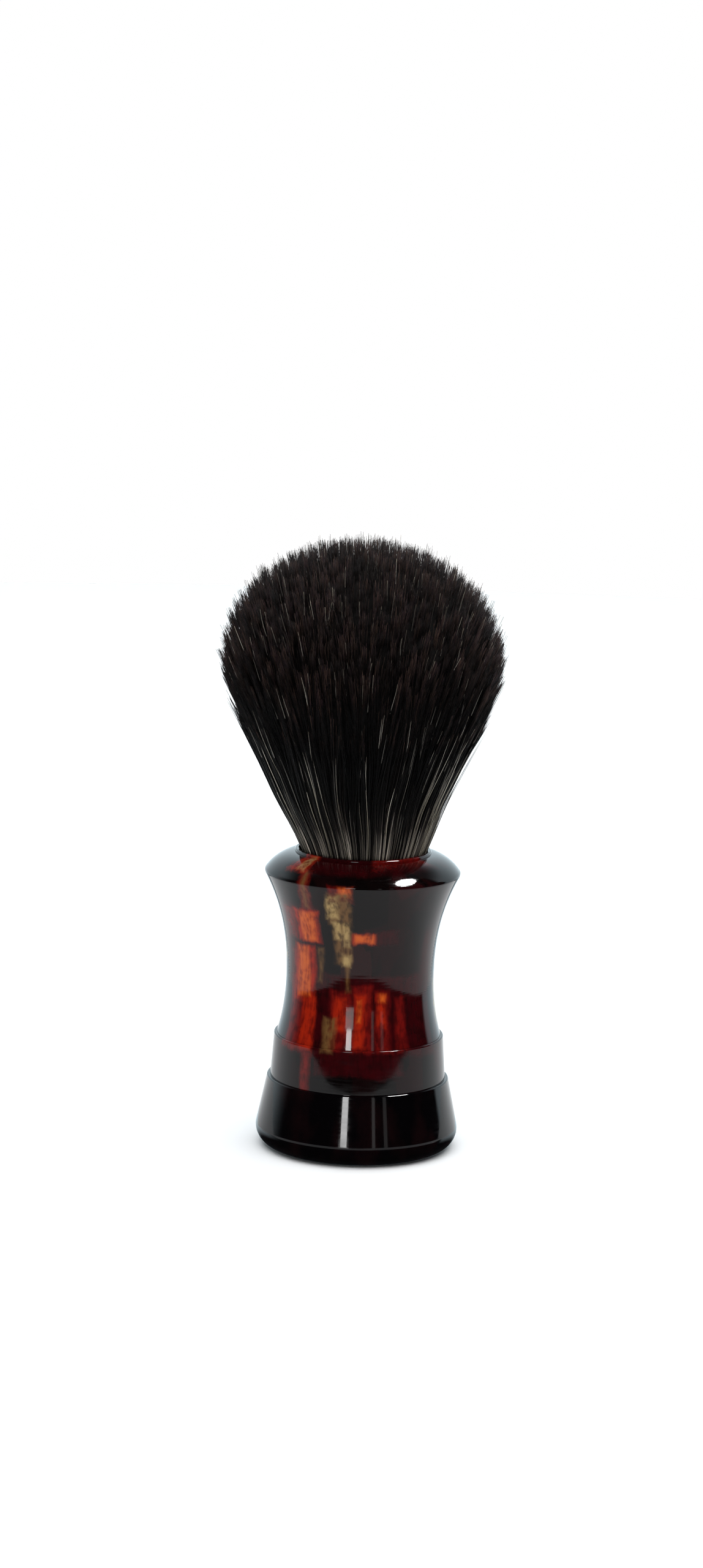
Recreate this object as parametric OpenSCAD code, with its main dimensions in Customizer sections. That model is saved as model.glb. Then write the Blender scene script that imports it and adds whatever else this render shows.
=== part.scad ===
// Shaving brush: a tied knot of dark hair, glued into a turned resin handle that stands on its foot.
// Millimetres. Z = 0 is the surface it stands on, and the Z axis is the brush's own axis.
// Every diameter of the handle grows from the knot outwards, as a turner sizes a handle to its knot.

/* [Overall] */
// Height of the whole brush, from the table to the tips of the hair
total_h = 100; // [84:1:122]
// Height of the handle, from the table to the lip of its socket
handle_h = 49.8; // [41:0.2:60]

/* [Foot] */
// Height of the foot
foot_h = 11.8; // [9.8:0.1:16]
// Ledge that the foot's top leaves outside the band
foot_ledge = 0.5; // [0.3:0.05:1.5]
// How far the foot's side spreads from its top edge to its widest place
foot_flare = 1.7; // [0.6:0.1:4]
// Radius of the foot's rounded bottom edge
foot_round = 3.2; // [1:0.1:3.6]
// Diameter of the shallow recess in the foot's underside
recess_d = 22; // [16:0.5:26]
// Depth of that recess
recess_depth = 1; // [0.6:0.1:2]

/* [Joint between foot and body] */
// Diameter of the spigot under the body
spigot_d = 16; // [10:0.5:20]
// Length of the spigot
spigot_h = 6.5; // [3:0.5:8]
// Thickness of the adhesive round and under the spigot
bond_t = 0.15; // [0.1:0.05:0.3]

/* [Body] */
// Height of the straight band above the foot
band_h = 7.2; // [4:0.1:10]
// How far the band narrows from its bottom to its top
band_taper = 0.5; // [0:0.05:1.5]
// Ledge that the band's top leaves outside the waist
band_ledge = 0.45; // [0.3:0.05:1.5]
// Height of the narrowest place above the band
waist_rise = 10; // [6:0.5:14]
// How far the waist spreads again down to the band
step_flare = 1.35; // [0.5:0.05:3]
// Thickness of resin between the knot's socket and the waist's narrowest radius
waist_wall = 1.55; // [1.2:0.05:4]
// How far the shoulder's rim stands out from the waist
rim_flare = 4; // [2:0.1:6]
// How late the waist turns out to the rim: 2 is a parabola, and more is later
rim_curve = 2.3; // [2:0.1:3.5]
// Height of the domed shoulder and its lip above the rim's edge
shoulder_h = 3.7; // [2:0.1:6]
// How far the shoulder bows out from a straight cone
shoulder_bow = 0.65; // [0.1:0.05:1]
// Width of the turned lip round the socket
lip_w = 0.6; // [0.4:0.05:1.2]
// Height of the lip above the shoulder
lip_h = 0.5; // [0.2:0.05:1]
// Length of curve that the polishing leaves at the rim's edge
rim_ease = 0.8; // [0.3:0.05:1.2]
// The same at the small edges of the ledges
ledge_ease = 0.25; // [0.1:0.05:0.3]

/* [Knot] */
// Diameter of the tied knot where it leaves the handle
knot_d = 20.8; // [17:0.2:25]
// Depth of the socket that it is glued into
socket_depth = 13; // [10.8:0.2:16]
// Thickness of the glue bed round the knot's ring
bed_t = 0.2; // [0.1:0.05:0.4]
// Thickness of the glue bed under it
bed_floor = 0.8; // [0.4:0.1:2]
// Height of the ring that holds the butts of the hair
ring_h = 7; // [5:0.5:8]
// Wall of that ring
ring_wall = 0.4; // [0.3:0.05:0.8]
// Diameter of the binding thread
thread_d = 0.5; // [0.3:0.05:0.6]
// Turns of thread round the knot
thread_turns = 5; // [3:1:5]

/* [Hair] */
// Diameter of the bulb at its widest place
bulb_d = 46.4; // [34:0.4:56]
// Height of the rounded crown above the widest place
crown_h = 19.5; // [14:0.5:24]
// How square the crown is: 2 is an ellipse
crown_square = 2.1; // [2:0.05:2.6]
// Angle from upright at which the outermost hair leaves the handle
spread_angle = 22; // [10:1:30]
// Height above the lip about which the free hair bends
flex_rise = 6.2; // [5:0.1:8]
// Gap between the free hair and the hair held by the handle
flex_gap = 0.3; // [0.2:0.05:0.6]

/* [Hidden] */
$fn = 96;
STEPS = 32; // points along each curve of an outline
FLANK_STEPS = 24; // points along the flank of the hair
SMALL_STEPS = 6; // points along each small round edge
EPS = 0.01; // overlap that makes a cut clean
spigot_ease = 0.4; // chamfer at the spigot's end, which lets it start in its bore
disc_gap = 0.1; // clearance round the disc
disc_lift = 0.2; // clearance between the disc and the table
flank_lower = 0.4; // share of the flank along which its lower handle reaches: how long it stays straight
flank_upper = 0.26; // the same for its upper handle: how late it turns upright
skirt_rise = 1.5; // the free hair starts this far above the bend, where it is thick enough to print

knot_r = knot_d / 2;
socket_r = knot_r + bed_t;
waist_r = socket_r + waist_wall;
rim_r = waist_r + rim_flare;
step_r = waist_r + step_flare;
band_top_r = step_r + band_ledge;
band_foot_r = band_top_r + band_taper;
foot_top_r = band_foot_r + foot_ledge;
foot_wide_r = foot_top_r + foot_flare;
spigot_r = spigot_d / 2;
bond_r = spigot_r + bond_t;
recess_r = recess_d / 2;
disc_t = recess_depth - disc_lift;
disc_r = recess_r - disc_gap;

band_z = foot_h + band_h;
waist_z = band_z + waist_rise;
shoulder_z = handle_h - lip_h;
rim_z = handle_h - shoulder_h;
lip_r = socket_r + lip_w;
socket_z = handle_h - socket_depth;
spigot_z = foot_h - spigot_h;

ring_z = socket_z + bed_floor;
ring_in_r = knot_r - ring_wall;
butt_z = ring_z + ring_h;
thread_h = thread_turns * thread_d;
bound_r = knot_r - thread_d;

bulb_r = bulb_d / 2;
bulb_z = total_h - crown_h;
flex_z = handle_h + flex_rise;

// A circular arc about centre c
function arc(c, r, from, to, n = STEPS) =
    [for (i = [0:n]) let (a = from + (to - from) * i / n) c + r * [cos(a), sin(a)]];

// An arc from p to q that bows to the right of the way from p to q
function bow(p, q, height, n = STEPS) =
    let (d = q - p, chord = norm(d), r = (chord * chord / 4 + height * height) / (2 * height),
         side = [d[1], -d[0]] / chord, c = (p + q) / 2 - side * (r - height),
         from = atan2(p[1] - c[1], p[0] - c[0]), to = atan2(q[1] - c[1], q[0] - c[0]))
    arc(c, r, from, to, n);

// A corner at p, softened over the length s towards its neighbours a and b
function eased(a, p, b, s, n = SMALL_STEPS) =
    let (p0 = p + s * (a - p) / norm(a - p), p1 = p + s * (b - p) / norm(b - p))
    [for (i = [0:n]) let (t = i / n) (1 - t) * (1 - t) * p0 + 2 * t * (1 - t) * p + t * t * p1];

// A cubic curve with its two handles
function curve(p, p_out, q_in, q, n = STEPS) =
    [for (i = [0:n]) let (t = i / n, u = 1 - t)
        u * u * u * p + 3 * u * u * t * p_out + 3 * u * t * t * q_in + t * t * t * q];

// The flank of the hair, from the lip up to its widest place
flank_h = bulb_z - handle_h;
flank = curve([knot_r, handle_h],
              [knot_r + flank_lower * flank_h * tan(spread_angle), handle_h + flank_lower * flank_h],
              [bulb_r, bulb_z - flank_upper * flank_h],
              [bulb_r, bulb_z], FLANK_STEPS);
// Radius of the hair's outline at a height on the flank
function hair_r(z) = lookup(z, [for (p = flank) [p[1], p[0]]]);
stump_r = hair_r(flex_z);
cup_r = stump_r + flex_gap;

// Everything in a handle is turned
module turned(outline) { rotate_extrude() polygon(outline); }

// Waist, shoulder and band in one piece of resin, with the socket for the knot and a spigot below
module handle_body() {
    step = [step_r, band_z];
    rim = [rim_r, rim_z];
    lip_foot = [lip_r, shoulder_z];
    lower_waist = [for (i = [0:STEPS]) let (t = i / STEPS)
        [waist_r + step_flare * (1 - t) * (1 - t), band_z + waist_rise * t]];
    upper_waist = [for (i = [1:STEPS - 1]) let (t = i / STEPS)
        [waist_r + rim_flare * pow(t, rim_curve), waist_z + (rim_z - waist_z) * t]];
    shoulder = bow(rim, lip_foot, shoulder_bow);
    color("#4a1a12")
    difference() {
        turned(concat(
            [[0, spigot_z], [spigot_r - spigot_ease, spigot_z], [spigot_r, spigot_z + spigot_ease],
             [spigot_r, foot_h], [band_foot_r, foot_h]],
            eased([band_foot_r, foot_h], [band_top_r, band_z], step, ledge_ease),
            lower_waist,
            upper_waist,
            eased(upper_waist[STEPS - 2], rim, shoulder[1], rim_ease / 2),
            [for (i = [2:STEPS]) shoulder[i]],
            arc([socket_r + lip_w / 2, handle_h - lip_w / 2], lip_w / 2, 0, 90, SMALL_STEPS),
            [[0, handle_h]]));
        translate([0, 0, socket_z]) cylinder(r = socket_r, h = socket_depth + EPS);
    }
}

// The black foot, with a blind bore for the spigot and a recess underneath
module foot() {
    side = atan2(foot_flare, foot_h); // lean of the foot's side from upright
    round_c = [foot_wide_r - foot_round, foot_round];
    side_start = round_c + foot_round * [cos(side), sin(side)];
    color("#14100f")
    difference() {
        turned(concat(
            [[0, 0]],
            arc(round_c, foot_round, -90, side),
            eased(side_start, [foot_top_r, foot_h], [0, foot_h], ledge_ease),
            [[0, foot_h]]));
        translate([0, 0, spigot_z - bond_t]) cylinder(r = bond_r, h = spigot_h + bond_t + EPS);
        translate([0, 0, -EPS]) cylinder(r = recess_r, h = recess_depth + EPS);
    }
}

// The adhesive that fills the gap round the spigot
module foot_bond() {
    color("#c9b48a")
    turned([[0, spigot_z - bond_t], [bond_r, spigot_z - bond_t], [bond_r, foot_h], [spigot_r, foot_h],
            [spigot_r, spigot_z + spigot_ease], [spigot_r - spigot_ease, spigot_z], [0, spigot_z]]);
}

// A thin disc that covers the drive mark in the recess
module base_disc() {
    color("#2a2625")
    translate([0, 0, recess_depth - disc_t]) cylinder(r = disc_r, h = disc_t);
}

// The cup of glue between the socket and the knot's ring
module socket_bed() {
    color("#d8cfae")
    turned([[0, socket_z], [socket_r, socket_z], [socket_r, butt_z], [knot_r, butt_z],
            [knot_r, ring_z], [0, ring_z]]);
}

// The thin ring that the butts of the hair are cast into
module knot_ring() {
    color("#b9bcc0")
    translate([0, 0, ring_z]) difference() {
        cylinder(r = knot_r, h = ring_h);
        translate([0, 0, -EPS]) cylinder(r = ring_in_r, h = ring_h + 2 * EPS);
    }
}

// Butts of the hair, set hard in resin inside the ring
module knot_plug() {
    color("#3a2a1c")
    translate([0, 0, ring_z]) cylinder(r = ring_in_r, h = ring_h);
}

// Waxed thread, wound side by side round the hair on top of the ring
module binding_thread() {
    color("#e6dcc4")
    turned(concat(
        [[bound_r, butt_z]],
        [for (i = [0:thread_turns - 1])
            each arc([knot_r - thread_d / 2, butt_z + (i + 0.5) * thread_d],
                     thread_d / 2, -90, 90, SMALL_STEPS)],
        [[bound_r, butt_z + thread_h]]));
}

// Hair that the handle holds still, up to the round core about which the rest bends
module hair_root() {
    color("#3b322b")
    turned(concat(
        [[0, butt_z], [bound_r, butt_z], [bound_r, butt_z + thread_h]],
        [for (p = flank) if (p[1] < flex_z - EPS) p],
        arc([0, flex_z], stump_r, 0, 90)));
}

// The free hair: a bulb with a hollow underneath that rides over the round core
module hair_bulb() {
    skirt_z = flex_z + skirt_rise;
    color("#241b18")
    turned(concat(
        [[hair_r(skirt_z), skirt_z]],
        [for (p = flank) if (p[1] > skirt_z + EPS) p],
        [for (i = [1:STEPS]) let (a = 90 * i / STEPS)
            [bulb_r * pow(max(cos(a), 0), 2 / crown_square),
             bulb_z + crown_h * pow(sin(a), 2 / crown_square)]],
        arc([0, flex_z], cup_r, 90, asin(skirt_rise / cup_r))));
}

handle_body();
foot();
foot_bond();
base_disc();
socket_bed();
knot_ring();
knot_plug();
binding_thread();
hair_root();
hair_bulb();
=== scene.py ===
"""Shaving brush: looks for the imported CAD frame.

Resin, ring, thread, felt and glue keep their CAD shapes and get their finishes here. The two plain hair
solids are replaced by hair: a packed core, thousands of dark hairs round it, and the pale ones among them.
"""
import math

import bpy
import numpy as np
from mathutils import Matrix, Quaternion, Vector


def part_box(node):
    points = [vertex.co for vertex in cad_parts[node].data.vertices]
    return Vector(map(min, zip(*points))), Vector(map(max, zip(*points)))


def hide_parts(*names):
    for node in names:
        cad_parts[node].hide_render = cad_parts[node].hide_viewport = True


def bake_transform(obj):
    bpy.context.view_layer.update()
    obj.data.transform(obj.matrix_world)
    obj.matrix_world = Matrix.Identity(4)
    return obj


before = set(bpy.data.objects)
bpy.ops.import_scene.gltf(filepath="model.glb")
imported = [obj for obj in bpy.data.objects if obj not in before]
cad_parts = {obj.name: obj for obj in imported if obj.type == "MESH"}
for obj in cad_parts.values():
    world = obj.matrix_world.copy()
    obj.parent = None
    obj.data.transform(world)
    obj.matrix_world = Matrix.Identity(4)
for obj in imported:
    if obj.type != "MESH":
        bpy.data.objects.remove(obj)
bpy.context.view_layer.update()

MM = 0.001


# ---------------------------------------------------------------- small tools

def linear(hex_colour):
    """An sRGB hex colour as the linear RGBA that nodes take."""
    parts = [int(hex_colour[i:i + 2], 16) / 255 for i in (1, 3, 5)]
    return [c / 12.92 if c <= 0.04045 else ((c + 0.055) / 1.055) ** 2.4 for c in parts] + [1.0]


def add(tree, kind, links=(), inputs={}, **settings):
    """Adds a node with its settings. `links` are (output, socket) pairs, and `inputs` are plain values by
    socket."""
    node = tree.nodes.new("ShaderNode" + kind)
    for name, value in settings.items():
        setattr(node, name, value)
    for socket, value in inputs.items():
        node.inputs[socket].default_value = value
    for output, socket in links:
        tree.links.new(output, node.inputs[socket])
    return node


def ramp(tree, factor, stops):
    """The colour at `factor` between (place, hex colour) stops."""
    node = add(tree, "ValToRGB", [(factor, "Fac")])
    elements = node.color_ramp.elements
    while len(elements) < len(stops):
        elements.new(0.5)
    for element, (place, colour) in zip(elements, stops):
        element.position = place
        element.color = linear(colour)
    return node.outputs["Color"]


def material(name, **sockets):
    """A new material, its node tree and its shader, with the shader's plain sockets set by name."""
    made = bpy.data.materials.new(name)
    made.use_nodes = True
    shader = made.node_tree.nodes["Principled BSDF"]
    for key, value in sockets.items():
        words = {"ior": "IOR", "specular_level": "Specular IOR Level"}
        shader.inputs[words.get(key, key.replace("_", " ").title())].default_value = value
    return made, made.node_tree, shader


def in_mm(tree, stretch=(1, 1, 1)):
    """Object coordinates in millimetres, so that a texture's scale is one over its grain in mm. A `stretch`
    below 1 draws the texture out along that axis."""
    place = add(tree, "TexCoord").outputs["Object"]
    scaled = add(tree, "VectorMath", [(place, 0)], operation="MULTIPLY",
                 inputs={1: [s / MM for s in stretch]})
    return scaled.outputs[0]


def wear(node_name, made):
    """Gives a CAD node its finish."""
    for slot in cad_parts[node_name].material_slots:
        slot.material = made


def put(name, data):
    """A new object in the scene."""
    made = bpy.data.objects.new(name, data)
    bpy.context.scene.collection.objects.link(made)
    return made


def round_turn(count):
    """That many angles, evenly spaced over a full turn."""
    return np.arange(count) * 2 * math.pi / count


# ---------------------------------------------------------------- sizes, from the frame

MOUTH_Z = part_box("handle_body")[1].z
KNOT_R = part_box("knot_ring")[1].x
BULB_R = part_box("hair_bulb")[1].x
TIP_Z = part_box("hair_bulb")[1].z
CROWN_H = 19.5 * MM  # the rounded top, above the bulb's widest ring
BULB_Z = TIP_Z - CROWN_H


# ---------------------------------------------------------------- camera, light and floor

def turn_to(thing, target):
    """Aims a camera or a light."""
    thing.rotation_mode = "QUATERNION"
    thing.rotation_quaternion = (Vector(target) - thing.location).to_track_quat("-Z", "Y")


def seen_at(azimuth, elevation):
    """The direction at an azimuth, 0 at the front and positive to the right, and elevation, in degrees."""
    a, e = math.radians(azimuth), math.radians(elevation)
    return Vector((math.sin(a) * math.cos(e), -math.cos(a) * math.cos(e), math.sin(e)))


def make_camera():
    """A long lens 0.6 m in front, looking a little down, and held a degree off level."""
    distance, looks_down, off_level = 0.6, 9.65, 1.45
    centre = Vector((-2.2 * MM, 0, 60.4 * MM))
    data = bpy.data.cameras.new("camera")
    data.sensor_width = 36
    data.lens = 84.4
    data.clip_start = 0.05
    camera = put("camera", data)
    camera.location = centre + distance * seen_at(0, looks_down)
    turn_to(camera, centre)
    roll = Quaternion((0, 0, 1), math.radians(off_level))
    camera.rotation_quaternion = camera.rotation_quaternion @ roll
    bpy.context.scene.camera = camera


def make_light(name, azimuth, elevation, distance, width, height, radiance, for_gloss, shape="RECTANGLE"):
    """A soft light facing the brush, either for the polish to reflect or for the matt surfaces. `radiance`
    is its brightness, where white paper has about 1."""
    data = bpy.data.lights.new(name, "AREA")
    data.shape = shape
    data.size, data.size_y = width, height
    data.energy = radiance * math.pi * width * height
    light = put(name, data)
    target = Vector((0, 0, 30 * MM))
    light.location = target + distance * seen_at(azimuth, elevation)
    turn_to(light, target)
    light.visible_camera = False
    light.visible_glossy = for_gloss
    light.visible_diffuse = not for_gloss


def make_lights():
    """Big soft lamps light the matt surfaces. The windows and a softbox are what the polish reflects."""
    make_light("overhead", 10, 80, 1.5, 2.2, 2.2, 3.1, False)
    make_light("front_fill", -5, 20, 1.3, 1.2, 1.0, 0.7, False)
    make_light("tall_window", -14, 16, 1.5, 0.19, 0.5, 30, True)
    make_light("window_sill", -14, 1.5, 1.5, 0.3, 0.26, 7, True)
    make_light("high_softbox", 81, 57, 1.2, 0.5, 0.3, 75, True, "ELLIPSE")
    make_light("far_window", 20, 9, 1.8, 0.11, 0.7, 1.6, True)
    make_light("farther_window", 34, 9, 1.8, 0.13, 0.7, 1.0, True)


def make_world():
    """White walls behind and beside the brush, a dark room in front of it, and plain white to the camera."""
    world = bpy.data.worlds.new("studio")
    bpy.context.scene.world = world
    world.use_nodes = True
    tree = world.node_tree
    tree.nodes.clear()
    way = add(tree, "SeparateXYZ", [(add(tree, "TexCoord").outputs["Generated"], 0)])
    # Azimuth as in seen_at: the white wall comes in slowly at the left, and has a sharp edge at the right.
    front = add(tree, "Math", [(way.outputs["Y"], 0)], operation="MULTIPLY", inputs={1: -1.0})
    azimuth = add(tree, "Math", [(way.outputs["X"], 0), (front.outputs[0], 1)],
                  operation="ARCTAN2").outputs[0]
    left, right = (add(tree, "MapRange", [(azimuth, "Value")], interpolation_type="SMOOTHSTEP",
                       inputs={"From Min": math.radians(dark), "From Max": math.radians(white)})
                   for dark, white in ((-92, -126), (110, 117)))
    wall = add(tree, "Math", [(left.outputs["Result"], 0), (right.outputs["Result"], 1)],
               operation="MAXIMUM")
    # The wall is 28 degrees high, and fades into a grey ceiling by 48.
    below = add(tree, "MapRange", [(way.outputs["Z"], "Value")], interpolation_type="SMOOTHSTEP",
                inputs={"From Min": math.sin(math.radians(48)), "From Max": math.sin(math.radians(28)),
                        "To Min": 0.1, "To Max": 1.0})
    # From 9 to 24 degrees down it fades out, as there is only the shade at the foot.
    above = add(tree, "MapRange", [(way.outputs["Z"], "Value")], interpolation_type="SMOOTHSTEP",
                inputs={"From Min": -0.4, "From Max": -0.15})
    high = add(tree, "Math", [(below.outputs["Result"], 0), (above.outputs["Result"], 1)],
               operation="MULTIPLY")
    lit = add(tree, "Math", [(wall.outputs[0], 0), (high.outputs[0], 1)], operation="MULTIPLY")
    room = ramp(tree, lit.outputs[0], [(0, "#17191b"), (1, "#e6f7ff")])
    studio = add(tree, "Background", [(room, "Color")], inputs={"Strength": 1.55})
    paper = add(tree, "Background", inputs={"Color": (1, 1, 1, 1), "Strength": 1.0})
    rays = add(tree, "LightPath")
    mix = add(tree, "MixShader", [(rays.outputs["Is Camera Ray"], 0), (studio.outputs[0], 1),
                                  (paper.outputs[0], 2)])
    add(tree, "OutputWorld", [(mix.outputs[0], "Surface")])


def make_floor():
    """Matt white paper. The polish sees an oval of it round the brush. Beyond that the room in front is
    dark, which makes the arch of clear resin at the foot of the waist. What lies close round the foot is in
    its shade."""
    made = material("paper", base_color=linear("#f6f7f8"), roughness=0.9)[0]
    around = 96
    turn = round_turn(around)
    # The three outlines, by half their size to the side and to the front, in metres.
    shade, oval, edge = (np.stack([x * np.cos(turn), y * np.sin(turn), 0 * turn], 1)
                         for x, y in ((0.031, 0.031), (0.172, 0.119), (0.8, 0.8)))
    ring = [(i, i + around, (i + 1) % around + around, (i + 1) % around) for i in range(around)]
    for name, points, faces in (("paper_in_shade", shade, [tuple(range(around))]),
                                ("paper", np.concatenate([shade, oval]), ring),
                                ("paper_around", np.concatenate([oval, edge]), ring)):
        mesh = bpy.data.meshes.new(name)
        mesh.from_pydata(points.tolist(), [], faces)
        mesh.materials.append(made)
        floor = put(name, mesh)
        floor.visible_glossy = name == "paper"


# ---------------------------------------------------------------- resin

# The coloured sheet that is chopped up and cast into the dark rod, and how far its streaks thin it out.
SHEET = {"garnet": ("#2c0407", 0.5), "ruby": ("#620f0c", 0.4), "flame": ("#8f1e0b", 0.35),
         "amber": ("#b8521c", 0.3), "bark": ("#5f4325", 0.3), "horn": ("#9a8052", 0.2)}
# Chips in the rod: sheet, the middle of its place round the handle in degrees (0 front, positive right),
# half its width in degrees, and its lower and upper end in mm above the table.
CHIPS = [
    # the clear foot of the waist, seen deep red with upright chips
    ("garnet", 0, 64, 17.4, 31.0), ("ruby", 2, 8, 18.6, 29.5), ("ruby", 18, 6, 18.6, 28.6),
    ("ruby", -15, 7.5, 19.0, 28.6), ("ruby", 33, 4.5, 18.6, 27.5), ("flame", 0, 4.5, 19.0, 28.0),
    ("flame", 17, 4, 22.5, 28.0), ("flame", -16, 4.5, 22.0, 27.6), ("bark", -22, 4.0, 18.6, 24.0),
    ("amber", 18, 2.5, 26.6, 28.0), ("amber", -1, 1.2, 23.5, 27.0),
    # the long orange one on the left
    ("garnet", -50, 18, 17.8, 36.0), ("ruby", -50, 14, 17.8, 34.0), ("flame", -40.5, 6.5, 18.4, 27.0),
    ("flame", -47, 12, 26.0, 35.2), ("amber", -48, 7, 27.0, 35.0),
    # the square ones above it
    ("garnet", -50, 20, 35.6, 42.4), ("ruby", -60, 7, 36.0, 41.4), ("flame", -41, 11, 36.0, 41.6),
    ("amber", -39.5, 7, 36.2, 41.2),
    # the horn-coloured one in the middle
    ("ruby", -13, 8, 43.6, 46.4), ("amber", -10, 3.5, 44.6, 46.2), ("bark", -14, 8, 39.6, 45.2),
    ("horn", -19, 3.6, 40.6, 44.6), ("bark", -13.5, 6.8, 33.0, 40.2), ("horn", -11, 3.0, 36.0, 40.0),
    ("horn", -17, 2.6, 37.0, 40.0), ("horn", -11, 3.4, 32.8, 34.6), ("bark", -10, 1.6, 28.5, 33.0),
    ("bark", -31, 1.6, 29.5, 35.0),
    # the bar beside it, and its dull red tail
    ("garnet", 13, 14, 36.3, 38.7), ("flame", 2, 8.5, 36.6, 38.2), ("amber", 3, 7.0, 36.7, 38.1),
    ("garnet", 60, 6, 29.0, 38.0),
    # over the shoulder
    ("ruby", -38, 4.0, 41.5, 48.2), ("bark", -38, 1.8, 42.0, 48.0), ("flame", -48, 9, 47.8, 50.3),
    ("horn", -46, 3.0, 48.2, 49.4), ("ruby", 32, 24, 48.8, 50.3), ("garnet", 0, 60, 48.0, 49.8),
    # in the band
    ("garnet", 0, 30, 14.6, 19.0), ("ruby", -37, 3.4, 11.6, 18.0),
]


def more_chips():
    """Chips round the sides and the back, scattered the way those in front are: eight stacks of them, from
    the right side on, each chip in a wider patch of dull red."""
    rng = np.random.default_rng(7)
    right, between, highest, seam = 90, 26, 46, 174
    chips = []
    for place in range(8):
        low = rng.uniform(18, 24)
        while low < highest - 3:
            half, tall = rng.uniform(3.5, 9), rng.uniform(2, 9)
            middle = (right + between * place + rng.uniform(-8, 8) + 180) % 360 - 180
            # None may cross the line at the back where the angle jumps from 180 to -180.
            middle = min(max(middle, half - seam), seam - half)
            sheet = str(rng.choice(["horn", "amber", "flame", "flame", "ruby", "ruby"]))
            chips.append(("garnet", middle, half + 5, low - 1, low + tall + 1))
            chips.append((sheet, middle, half, low, min(low + tall, highest)))
            low += tall + rng.uniform(1, 7)
    return chips


def tortoiseshell():
    """Cast acrylic in faux tortoiseshell, turned and polished: a near-black rod with chopped orange, red
    and horn-coloured sheet in it. Polishing leaves a wet gloss, and the chips stand upright with slightly
    soft ends."""
    made, tree, shader = material("tortoiseshell_resin", ior=1.46, specular_level=0.22)
    rod = in_mm(tree)
    drawn = in_mm(tree, (1, 1, 0.45))
    axes = add(tree, "SeparateXYZ", [(rod, 0)])
    front = add(tree, "Math", [(axes.outputs["Y"], 0)], operation="MULTIPLY", inputs={1: -1.0})
    turn = add(tree, "Math", [(axes.outputs["X"], 0), (front.outputs[0], 1)], operation="ARCTAN2")
    degrees = add(tree, "Math", [(turn.outputs[0], 0)], operation="DEGREES")
    place = add(tree, "CombineXYZ", [(degrees.outputs[0], "X"), (axes.outputs["Z"], "Y")]).outputs[0]
    # The casting flows: lumps 5 mm across shift the chips by up to about 2 degrees and 0.5 mm, and ragged
    # edges 0.9 mm across by up to 1 degree and 0.2 mm.
    for grain, shift in ((5.0, (8.0, 2.0, 0)), (0.9, (3.0, 0.7, 0))):
        noise = add(tree, "TexNoise", [(drawn, "Vector")], inputs={"Scale": 1 / grain, "Detail": 2.0})
        centred = add(tree, "VectorMath", [(noise.outputs["Color"], 0)], operation="SUBTRACT",
                      inputs={1: (0.5, 0.5, 0.5)})
        place = add(tree, "VectorMath", [(centred.outputs[0], 0), (place, 2)], operation="MULTIPLY_ADD",
                    inputs={1: shift}).outputs[0]
    # The rod itself is black brown, with cells of dull red about 4 mm across deep in it.
    cells = add(tree, "TexVoronoi", [(drawn, "Vector")], distance="CHEBYCHEV", feature="SMOOTH_F1",
                inputs={"Scale": 1 / 4.0, "Randomness": 0.9, "Smoothness": 0.15})
    cell = add(tree, "SeparateColor", [(cells.outputs["Color"], 0)])
    colour = ramp(tree, cell.outputs["Red"], [(0.0, "#050303"), (0.45, "#090404"), (0.7, "#190607"),
                                              (0.85, "#0c0505"), (1.0, "#240809")])
    # Streaks 0.5 mm across run upright inside each chip, and mottle 1.5 mm across thins it out.
    streaks = add(tree, "TexNoise", [(in_mm(tree, (1, 1, 0.14)), "Vector")],
                  inputs={"Scale": 1 / 0.5, "Detail": 3.0})
    mottle = add(tree, "TexNoise", [(rod, "Vector")], inputs={"Scale": 1 / 1.5, "Detail": 2.0})
    both = add(tree, "Math", [(streaks.outputs["Fac"], 0), (mottle.outputs["Fac"], 1)], operation="ADD")
    across, up = (add(tree, "SeparateXYZ", [(place, 0)]).outputs[axis] for axis in "XY")
    chips = CHIPS + more_chips()
    for name, (tint, thinnest) in SHEET.items():
        cover = None
        for sheet, at, half, low, high in chips:
            if sheet == name:
                # How far inside the chip's nearest side this is, in steps of 2.5 degrees or 0.5 mm.
                depth = []
                sides = (across, at, half, 2.5), (up, (low + high) / 2, (high - low) / 2, 0.5)
                for where, middle, reach, step in sides:
                    away = add(tree, "Math", [(where, 0)], operation="SUBTRACT", inputs={1: middle})
                    out = add(tree, "Math", [(away.outputs[0], 0)], operation="ABSOLUTE")
                    depth.append(add(tree, "Math", [(out.outputs[0], 0)], operation="MULTIPLY_ADD",
                                     inputs={1: -1 / step, 2: reach / step}))
                edge = add(tree, "Math", [(d.outputs[0], i) for i, d in enumerate(depth)],
                           operation="MINIMUM")
                cover = edge if cover is None else add(
                    tree, "Math", [(cover.outputs[0], 0), (edge.outputs[0], 1)], operation="MAXIMUM")
        inside = add(tree, "MapRange", [(cover.outputs[0], "Value")], interpolation_type="SMOOTHSTEP",
                     inputs={"From Min": -0.9, "From Max": 1.1})
        body = add(tree, "MapRange", [(both.outputs[0], "Value")],
                   inputs={"From Min": 0.8, "From Max": 1.12, "To Min": thinnest, "To Max": 1.0})
        laid = add(tree, "Math", [(inside.outputs["Result"], 0), (body.outputs["Result"], 1)],
                   operation="MULTIPLY")
        colour = add(tree, "Mix", [(laid.outputs[0], 0), (colour, 6)], data_type="RGBA",
                     inputs={7: linear(tint)}).outputs[2]
    tree.links.new(colour, shader.inputs["Base Color"])
    polish(tree, shader)
    return made


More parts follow.
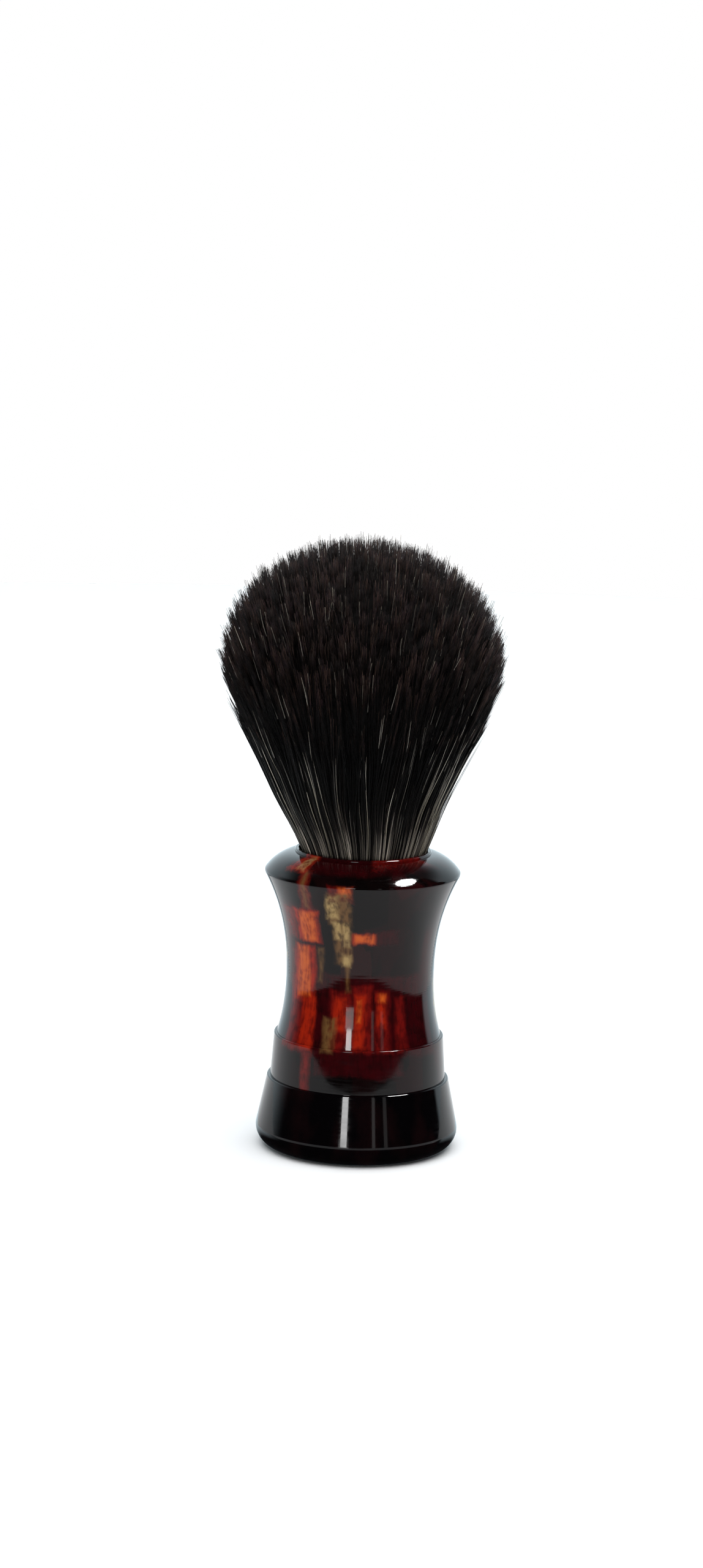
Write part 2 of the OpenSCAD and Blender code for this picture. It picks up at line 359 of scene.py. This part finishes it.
def polish(tree, shader):
    """Buffing marks: rings 0.3 mm apart round the turned part, hardly rougher than the gloss between."""
    rings = add(tree, "TexNoise", [(in_mm(tree, (0.08, 0.08, 1)), "Vector")],
                inputs={"Scale": 1 / 0.3, "Detail": 2.0})
    rough = add(tree, "MapRange", [(rings.outputs["Fac"], "Value")],
                inputs={"From Min": 0.35, "From Max": 0.75, "To Min": 0.035, "To Max": 0.1})
    tree.links.new(rough.outputs["Result"], shader.inputs["Roughness"])


def black_resin():
    """Cast acrylic, black with clouds of deep red 4 mm across, turned and polished to a wet gloss."""
    made, tree, shader = material("black_resin", ior=1.46, specular_level=0.22)
    cloud = add(tree, "TexNoise", [(in_mm(tree, (1, 1, 0.5)), "Vector")],
                inputs={"Scale": 1 / 4.0, "Detail": 3.0})
    tree.links.new(ramp(tree, cloud.outputs["Fac"], [(0.45, "#030203"), (0.75, "#120607")]),
                   shader.inputs["Base Color"])
    polish(tree, shader)
    return made


# ---------------------------------------------------------------- what the handle hides

def cured_epoxy():
    """Two-part epoxy, mixed by hand and squeezed out: glossy amber in clouds 2 mm across, with bubbles
    0.8 mm apart."""
    made, tree, shader = material("cured_epoxy", roughness=0.25, ior=1.55)
    cloud = add(tree, "TexNoise", [(in_mm(tree), "Vector")], inputs={"Scale": 1 / 2.0, "Detail": 2.0})
    tree.links.new(ramp(tree, cloud.outputs["Fac"], [(0.35, "#b08a4a"), (0.65, "#cdb277")]),
                   shader.inputs["Base Color"])
    bubbles = add(tree, "TexVoronoi", [(in_mm(tree), "Vector")], inputs={"Scale": 1 / 0.8})
    bump = add(tree, "Bump", [(bubbles.outputs["Distance"], "Height")],
               inputs={"Strength": 0.3, "Distance": 0.05 * MM})
    tree.links.new(bump.outputs[0], shader.inputs["Normal"])
    return made


def pressed_felt():
    """Pressed wool felt: matted fibres, which give a dull, soft surface."""
    made, tree, shader = material("pressed_felt", roughness=0.95, sheen_weight=0.3)
    # Wool is 0.03 mm thick, too fine to draw, so the fibres are 0.25 mm across.
    fibres = add(tree, "TexNoise", [(in_mm(tree), "Vector")],
                 inputs={"Scale": 1 / 0.25, "Detail": 4.0, "Distortion": 1.5})
    tree.links.new(ramp(tree, fibres.outputs["Fac"], [(0.3, "#100e0e"), (0.7, "#2e2927")]),
                   shader.inputs["Base Color"])
    bump = add(tree, "Bump", [(fibres.outputs["Fac"], "Height")],
               inputs={"Strength": 0.6, "Distance": 0.1 * MM})
    tree.links.new(bump.outputs[0], shader.inputs["Normal"])
    return made


def drawn_aluminium():
    """Thin aluminium tube as drawn through a die, which leaves it satin, with fine lines along it."""
    made, tree, shader = material("drawn_aluminium", metallic=1.0)
    # Die lines are 0.02 mm apart, too fine to draw, so these are 0.12 mm apart.
    lines = add(tree, "TexNoise", [(in_mm(tree, (1, 1, 0.02)), "Vector")], inputs={"Scale": 1 / 0.12})
    tree.links.new(ramp(tree, lines.outputs["Fac"], [(0.3, "#c3c5c9"), (0.7, "#dcdde0")]),
                   shader.inputs["Base Color"])
    rough = add(tree, "MapRange", [(lines.outputs["Fac"], "Value")], inputs={"To Min": 0.25, "To Max": 0.5})
    tree.links.new(rough.outputs["Result"], shader.inputs["Roughness"])
    return made


def set_butts():
    """Cut ends of hair in cast resin: dark and pale dots, half a millimetre apart, in brown."""
    made, tree, shader = material("set_butts", roughness=0.35, ior=1.5)
    ends = add(tree, "TexVoronoi", [(in_mm(tree, (1, 1, 0.05)), "Vector")], inputs={"Scale": 1 / 0.5})
    dots = ramp(tree, ends.outputs["Distance"], [(0.1, "#b5a68a"), (0.3, "#17110d"), (0.5, "#3d2a18")])
    tree.links.new(dots, shader.inputs["Base Color"])
    return made


def waxed_thread():
    """Linen thread, twisted and waxed: slanting plies with a soft shine."""
    made, tree, shader = material("waxed_thread", roughness=0.5)
    # Diagonal bands lie 0.363 mm over the scale apart, which puts the plies 0.29 mm apart.
    plies = add(tree, "TexWave", [(in_mm(tree), "Vector")], bands_direction="DIAGONAL",
                inputs={"Scale": 1.256, "Distortion": 1.0})
    tree.links.new(ramp(tree, plies.outputs["Fac"], [(0.2, "#bfae88"), (0.8, "#ebe1c6")]),
                   shader.inputs["Base Color"])
    bump = add(tree, "Bump", [(plies.outputs["Fac"], "Height")],
               inputs={"Strength": 0.5, "Distance": 0.05 * MM})
    tree.links.new(bump.outputs[0], shader.inputs["Normal"])
    return made


# ---------------------------------------------------------------- hair

CHART = "OFBake"  # each hair's map: its shade from 0 to 1 across, and root to tip upwards
ROOT_Z = MOUTH_Z - 2 * MM


def outline():
    """Heights and radii of the knot's outline: a flank that opens like a fan, then a rounded crown."""
    flank_h = BULB_Z - MOUTH_Z
    opening = math.tan(math.radians(22))
    first, last = 0.4 * flank_h, 0.26 * flank_h
    # A Bezier curve that leaves the mouth at 22 degrees and ends upright.
    ends = [(KNOT_R, MOUTH_Z), (KNOT_R + first * opening, MOUTH_Z + first),
            (BULB_R, BULB_Z - last), (BULB_R, BULB_Z)]
    t = np.linspace(0, 1, 40)[:, None]
    p0, p1, p2, p3 = (np.array(p) for p in ends)
    flank = (1 - t) ** 3 * p0 + 3 * (1 - t) ** 2 * t * p1 + 3 * (1 - t) * t * t * p2 + t ** 3 * p3
    # A quarter of a superellipse of power 2.1, a little squarer than an ellipse.
    a = np.linspace(0, math.pi / 2, 40)[1:]
    power = 2 / 2.1
    crown = np.stack([BULB_R * np.cos(a).clip(0) ** power, BULB_Z + CROWN_H * np.sin(a) ** power], 1)
    points = np.concatenate([flank, crown])
    return points[:, 1], points[:, 0]


OUT_Z, OUT_R = outline()


def fan(z):
    """Radius of the bundle's outermost hair at a height: it leaves the socket and goes nearly straight."""
    h = z - MOUTH_Z
    return KNOT_R - 0.2 * MM + 0.49 * h - 0.45 * MM * (1 - np.exp(-h / (5 * MM)))


def tip_height(share):
    """Height at which a hair at this share of the bundle's radius ends: where it meets the outline."""
    z = np.linspace(MOUTH_Z + 21 * MM, TIP_Z, 300)
    stand_out = 0.8 * MM  # by how much single hairs reach past the others
    reached = (np.interp(z, OUT_Z, OUT_R) - stand_out) / fan(z)
    return np.interp(-share, -np.minimum(reached, 1.0), z)


def smoothstep(x):
    """0 below 0 and 1 above 1, with a smooth rise between."""
    x = np.clip(x, 0, 1)
    return x * x * (3 - 2 * x)


def lean_left(rise):
    """How far to its left the whole knot leans, at a share of its free height."""
    return 0.7 * MM * smoothstep(rise * 5) + 0.4 * MM * rise ** 2


def grow(rng, count, share=(0, 1), segments=5, drop=None, stray=0.0, thick=0.15, clump=0.85, shorter=0.3,
         toward=(0, 2 * math.pi)):
    """Paths, radii and root-to-tip places of hairs, each an array of hair by point along it, and a shade
    for each.

    share bounds a hair's place from the bundle's middle, 0, to its outside, 1, and toward bounds its angle
    round the axis, from +X. drop is how far below its tip a hair starts, or None to start in the socket.
    stray is how much it goes its own way, and clump how nearly its tip joins its neighbours' tips. thick
    and shorter, the mean amount by which it ends early, are in mm."""
    at = np.sqrt(rng.uniform(share[0] ** 2, share[1] ** 2, count))
    turn = rng.uniform(*toward, count)
    # Neighbours draw together into points 1.2 mm apart where the bundle is 24 mm in radius. Each such lock
    # has a shade and a length of its own, scrambled from the numbers of its cell.
    pitch = 1.2 / 24
    x, y = at * np.cos(turn), at * np.sin(turn)
    cell = np.stack([np.round(x / pitch), np.round(y / pitch)], 1)
    jitter = np.modf(np.abs(np.sin(cell @ np.array([[12.9898, 39.346], [78.233, 11.135]])) * 43758.5453))[0]
    centre = (cell + 0.8 * (jitter - 0.5)) * pitch
    shade = np.clip(0.7 * jitter[:, 0] + 0.3 * rng.uniform(0, 1, count), 0.01, 0.99)
    top = tip_height(np.minimum(at, 1)) + (rng.normal(0.4, 0.3, count) - shorter * rng.exponential(1, count)
                                           + 1.1 * (jitter[:, 1] - 0.5)) * MM
    shortest = 4 * MM
    top = np.maximum(top, MOUTH_Z + shortest)
    start = np.full(count, ROOT_Z) if drop is None else np.maximum(top - drop, ROOT_Z)
    z = start[:, None] + (top - start)[:, None] * np.linspace(0, 1, segments + 1)[None, :] ** 0.9
    along = (z - ROOT_Z) / (top[:, None] - ROOT_Z)
    rise = np.clip((z - MOUTH_Z) / (TIP_Z - MOUTH_Z), 0, 1.1)
    pull = clump * smoothstep((along - 0.7) / 0.3)
    dx = x[:, None] + (centre[:, :1] - x[:, None]) * pull
    dy = y[:, None] + (centre[:, 1:] - y[:, None]) * pull
    # Locks: the bundle parts a little into upright waves that wander as they rise.
    waves = ((0.022, 13, 3.1, 5), (0.016, 29, 1.2, -7), (0.01, 61, 4.4, 11))
    lock = sum(size * np.sin(number * turn[:, None] + offset + wander * rise)
               for size, number, offset, wander in waves) * smoothstep(rise * 4)
    dx, dy = dx - dy * lock, dy + dx * lock
    lean = rng.normal(0, 0.4 + stray, (count, 2)) * MM
    sway = rng.normal(0, 0.22 + 0.6 * stray, (count, 2)) * MM
    phase = rng.uniform(0, 6.28, (count, 2))
    beat = rng.uniform(6, 22, count)[:, None]
    r = fan(z)
    px = dx * r + lean[:, :1] * rise ** 1.5 + sway[:, :1] * rise * np.sin(beat * rise + phase[:, :1])
    py = dy * r + lean[:, 1:] * rise ** 1.5 + sway[:, 1:] * rise * np.sin(beat * rise + phase[:, 1:])
    px = px - lean_left(rise)
    taper = 1 - 0.7 * smoothstep((along - 0.75) / 0.25)
    radius = thick / 2 * MM * taper * rng.uniform(0.75, 1.2, count)[:, None]
    return np.stack([px, py, z], 2), radius, along, shade


def tubes(name, paths, radii, along, tone):
    """One mesh of three-sided tapered tubes with closed ends."""
    count, rings, _ = paths.shape
    axis = paths[:, -1] - paths[:, 0]
    axis /= np.linalg.norm(axis, axis=1)[:, None]
    side = np.cross(axis, np.array([0.31, 0.95, 0.05]))
    side /= np.linalg.norm(side, axis=1)[:, None]
    other = np.cross(axis, side)
    corner = round_turn(3)[None, :, None]
    ring = np.cos(corner) * side[:, None, :] + np.sin(corner) * other[:, None, :]
    points = paths[:, :, None, :] + radii[:, :, None, None] * ring[:, None, :, :]
    first = (np.arange(count)[:, None, None] * rings + np.arange(rings - 1)[None, :, None]) * 3
    j = np.arange(3)[None, None, :]
    a, b = first + j, first + (j + 1) % 3
    quads = np.stack([a, b, b + 3, a + 3], -1).reshape(-1, 4)
    root_end = np.stack([np.arange(count) * rings * 3 + i for i in (2, 1, 0)], 1)
    tip_end = np.stack([(np.arange(count) * rings + rings - 1) * 3 + i for i in (0, 1, 2)], 1)
    loops = np.concatenate([quads.ravel(), root_end.ravel(), tip_end.ravel()])
    sizes = np.concatenate([np.full(len(quads), 4), np.full(2 * count, 3)])
    mesh = bpy.data.meshes.new(name)
    mesh.vertices.add(count * rings * 3)
    mesh.vertices.foreach_set("co", points.astype(np.float32).ravel())
    mesh.loops.add(len(loops))
    mesh.loops.foreach_set("vertex_index", loops.astype(np.int32))
    mesh.polygons.add(len(sizes))
    mesh.polygons.foreach_set("loop_start", (np.cumsum(sizes) - sizes).astype(np.int32))
    mesh.polygons.foreach_set("use_smooth", np.ones(len(sizes), bool))
    mesh.update(calc_edges=True)
    across = (tone[:, None, None] + (np.arange(3) - 1)[None, None, :] * 0.003) * np.ones((1, rings, 1))
    upwards = along[:, :, None] * np.ones((1, 1, 3))
    chart = np.stack([across, upwards], -1).reshape(-1, 2)
    mesh.uv_layers.new(name=CHART).data.foreach_set("uv", chart[loops].astype(np.float32).ravel())
    return put(name, mesh)


def read_chart(tree):
    """The shade and the root-to-tip place from a hair's map."""
    parts = add(tree, "SeparateXYZ", [(add(tree, "UVMap", uv_map=CHART).outputs[0], 0)])
    return parts.outputs["X"], parts.outputs["Y"]


def shaded(tree, colour, shade, power, darkest, lightest):
    """The colour made darker or lighter from hair to hair. A higher power leaves fewer light ones."""
    part = add(tree, "Math", [(shade, 0)], operation="POWER", inputs={1: power})
    level = add(tree, "MapRange", [(part.outputs[0], "Value")],
                inputs={"To Min": darkest, "To Max": lightest})
    return add(tree, "VectorMath", [(colour, 0), (level.outputs["Result"], "Scale")],
               operation="SCALE").outputs[0]


def dark_hair():
    """Badger hair, washed and sterilised: black shafts, warm brown points, and on some a grey-tan root. Its
    scales are too fine to see, and leave a weak, broad shine."""
    made, tree, shader = material("dark_hair", roughness=0.5, specular_level=0.08)
    shade, up = read_chart(tree)
    plain = ramp(tree, up, [(0.0, "#38332f"), (0.2, "#0a0908"), (0.85, "#020202"), (0.95, "#0a0708"),
                            (1.0, "#201417")])
    grizzled = ramp(tree, up, [(0.0, "#d2c9ba"), (0.12, "#9e958a"), (0.3, "#36302c"), (0.5, "#080706"),
                               (0.9, "#0b0808"), (1.0, "#32251f")])
    # A second value from the same shade picks the 45 per cent of hairs that are grizzled.
    turns = add(tree, "Math", [(shade, 0)], operation="MULTIPLY", inputs={1: 13.0})
    part = add(tree, "Math", [(turns.outputs[0], 0)], operation="FRACT")
    which = add(tree, "Math", [(part.outputs[0], 0)], operation="GREATER_THAN", inputs={1: 0.55})
    both = add(tree, "Mix", [(which.outputs[0], "Factor"), (plain, 6), (grizzled, 7)], data_type="RGBA")
    tree.links.new(shaded(tree, both.outputs[2], shade, 2.0, 0.15, 3.0), shader.inputs["Base Color"])
    return made


def pale_hair():
    """The odd white and tan badger hairs among the dark ones, undyed, which catch the light."""
    made, tree, shader = material("pale_hair", roughness=0.4, specular_level=0.3)
    shade, up = read_chart(tree)
    plain = ramp(tree, up, [(0.0, "#8f8776"), (0.5, "#b0a58f"), (0.93, "#e2dacd"), (1.0, "#b3a794")])
    tree.links.new(shaded(tree, plain, shade, 1.5, 0.1, 1.0), shader.inputs["Base Color"])
    return made


def packed_hair():
    """The dark mass between single hairs, with an upright grain 0.3 mm across."""
    made, tree, shader = material("packed_hair", roughness=0.9, specular_level=0.05)
    grain = add(tree, "TexNoise", [(in_mm(tree, (1, 1, 0.08)), "Vector")],
                inputs={"Scale": 1 / 0.3, "Detail": 2.0})
    tree.links.new(ramp(tree, grain.outputs["Fac"], [(0.4, "#040303"), (0.7, "#0c0908")]),
                   shader.inputs["Base Color"])
    return made


def make_core():
    """A closed body just under the outer hairs, where single hairs can't be told apart."""
    around = 96
    lower, narrower, point = 0.955, 0.9, 0.02 * MM
    z = np.concatenate([[ROOT_Z], MOUTH_Z + (OUT_Z - MOUTH_Z) * lower])
    r = np.concatenate([[OUT_R[0]], OUT_R]) * narrower
    r[-1] = point
    turn = round_turn(around)
    rng = np.random.default_rng(11)
    ridge = 1 + 0.02 * np.sin(turn * 31 + 1.3)[None, :] + rng.normal(0, 0.012, (len(z), around))
    rise = ((z - ROOT_Z) / (TIP_Z - ROOT_Z))[:, None]
    points = np.stack([r[:, None] * np.cos(turn) * ridge - lean_left(rise),
                       r[:, None] * np.sin(turn) * ridge, z[:, None] * np.ones_like(ridge)], -1)
    last = (len(z) - 1) * around
    faces = [(i + j, i + (j + 1) % around, i + around + (j + 1) % around, i + around + j)
             for i in range(0, last, around) for j in range(around)]
    faces += [tuple(reversed(range(around))), tuple(range(last, last + around))]
    mesh = bpy.data.meshes.new("hair_core")
    mesh.from_pydata(points.reshape(-1, 3).tolist(), [], faces)
    mesh.shade_smooth()
    mesh.materials.append(packed_hair())
    return put("hair_core", mesh)


def make_hair():
    """The whole knot, in place of the two plain hair solids."""
    rng = np.random.default_rng(2028)
    dark, pale = dark_hair(), pale_hair()
    growths = [("hair_outer_%d" % i, dark, dict(count=1500, share=(0.84, 1.0), segments=13))
               for i in range(4)]
    growths += [("hair_crown_%d" % i, dark, dict(count=4400, share=(0.0, 0.95), segments=4, drop=9 * MM))
                for i in range(6)]
    loose = dict(segments=24, thick=0.11, clump=0.0)
    growths += [("hair_stray", dark, dict(loose, count=110, share=(0.9, 1.0), stray=0.8, shorter=3.0)),
                ("hair_pale_long", pale, dict(loose, count=190, share=(0.97, 1.01), stray=0.2,
                                              shorter=9.0)),
                ("hair_pale_side", pale, dict(loose, count=22, share=(0.98, 1.04), stray=0.2, shorter=5.0,
                                              toward=(-0.8, 0.3))),
                ("hair_pale_short", pale, dict(count=330, segments=8, drop=5 * MM, stray=0.2, thick=0.19,
                                               clump=0.2, shorter=-0.35))]
    pieces = [make_core()]
    for name, finish, how in growths:
        hair = tubes(name, *grow(rng, **how))
        hair.data.materials.append(finish)
        pieces.append(hair)
    for hair in pieces:
        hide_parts("hair_bulb", "hair_root")
        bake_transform(hair)


# ---------------------------------------------------------------- the brush

make_camera()
make_world()
make_floor()
make_lights()

wear("handle_body", tortoiseshell())
wear("foot", black_resin())
glue = cured_epoxy()
wear("foot_bond", glue)
wear("socket_bed", glue)
wear("base_disc", pressed_felt())
wear("knot_ring", drawn_aluminium())
wear("knot_plug", set_butts())
wear("binding_thread", waxed_thread())
make_hair()

bpy.context.scene.view_settings.view_transform = "Standard"
